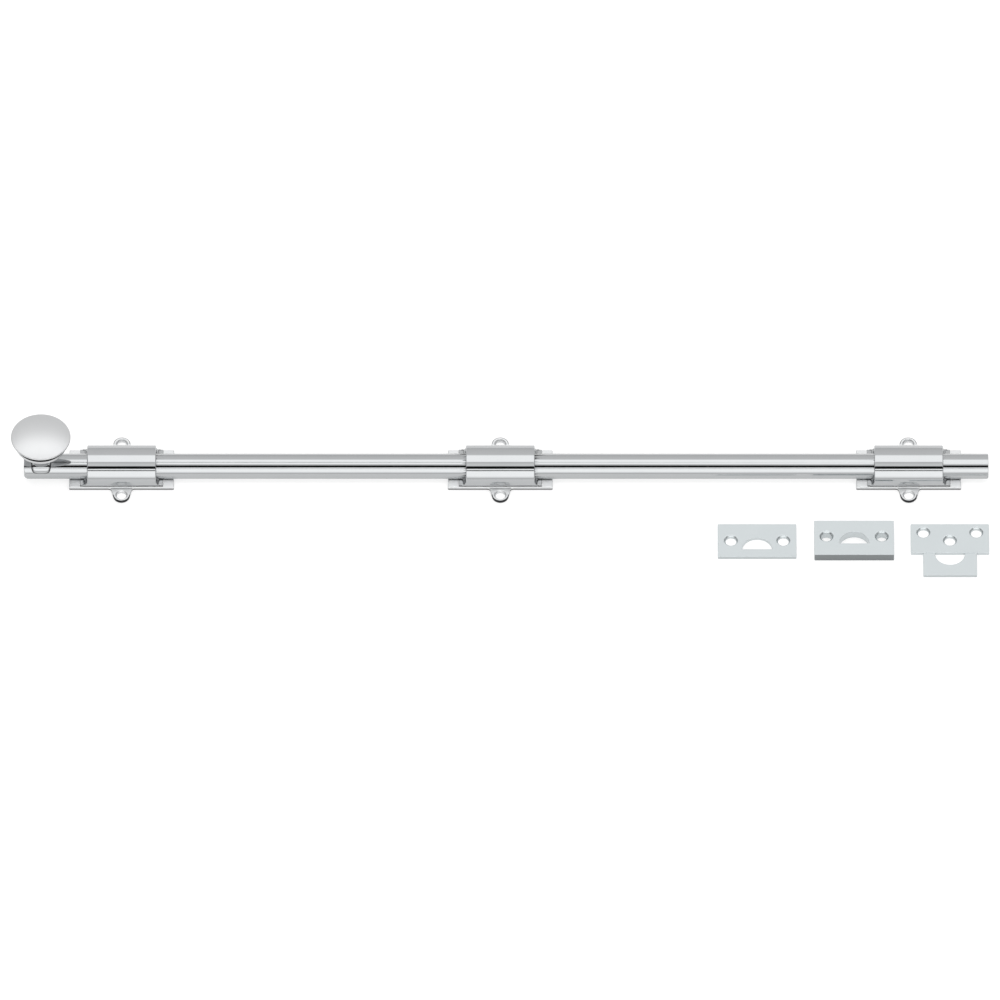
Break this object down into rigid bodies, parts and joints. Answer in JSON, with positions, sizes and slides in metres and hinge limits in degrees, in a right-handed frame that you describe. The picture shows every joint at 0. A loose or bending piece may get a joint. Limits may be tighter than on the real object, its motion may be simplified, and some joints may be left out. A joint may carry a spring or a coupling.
{
  "type": "surface bolt",
  "caption": "Polished chrome half-round surface bolt: a long rod slides through screw-on guides by a mushroom knob, with flat, raised and tongue strikes laid beside it.",
  "frame": {"origin": "middle of the centre guide's mounting face, where it meets the door", "axes": "+X along the rod towards its locking tip, +Z out of the door face, +Y across the rod, away from the strikes"},
  "size_m": [0.669, 0.1227, 0.0409],
  "materials": {
    "polished_chrome": "polished chrome plate on solid brass",
    "strike_chrome": "polished chrome plate on flat brass",
    "screw_steel": "zinc-plated steel",
    "spring_bronze": "rolled phosphor bronze"
  },
  "bodies": {
    "guides": {"tail_guide_base": "polished_chrome", "tail_guide_saddle": "polished_chrome", "tail_friction_spring": "spring_bronze", "tail_guide_screw_1": "screw_steel", "tail_guide_screw_2": "screw_steel", "tail_guide_screw_3": "screw_steel", "tail_guide_screw_4": "screw_steel", "centre_guide_base": "polished_chrome", "centre_guide_saddle": "polished_chrome", "centre_friction_spring": "spring_bronze", "centre_guide_screw_1": "screw_steel", "centre_guide_screw_2": "screw_steel", "centre_guide_screw_3": "screw_steel", "centre_guide_screw_4": "screw_steel", "tip_guide_base": "polished_chrome", "tip_guide_saddle": "polished_chrome", "tip_friction_spring": "spring_bronze", "tip_guide_screw_1": "screw_steel", "tip_guide_screw_2": "screw_steel", "tip_guide_screw_3": "screw_steel", "tip_guide_screw_4": "screw_steel", "stop_pin": "screw_steel", "flat_strike": "strike_chrome", "raised_strike": "strike_chrome", "tongue_strike": "strike_chrome"},
    "bolt": {"bolt_rod": "polished_chrome", "knob_collar": "polished_chrome", "knob": "polished_chrome", "knob_screw": "screw_steel"}
  },
  "joints": [
    {"name": "bolt_slide", "type": "slide", "parent": "guides", "child": "bolt", "axis": [1, 0, 0], "range_m": [0, 0.0238]}
  ]
}
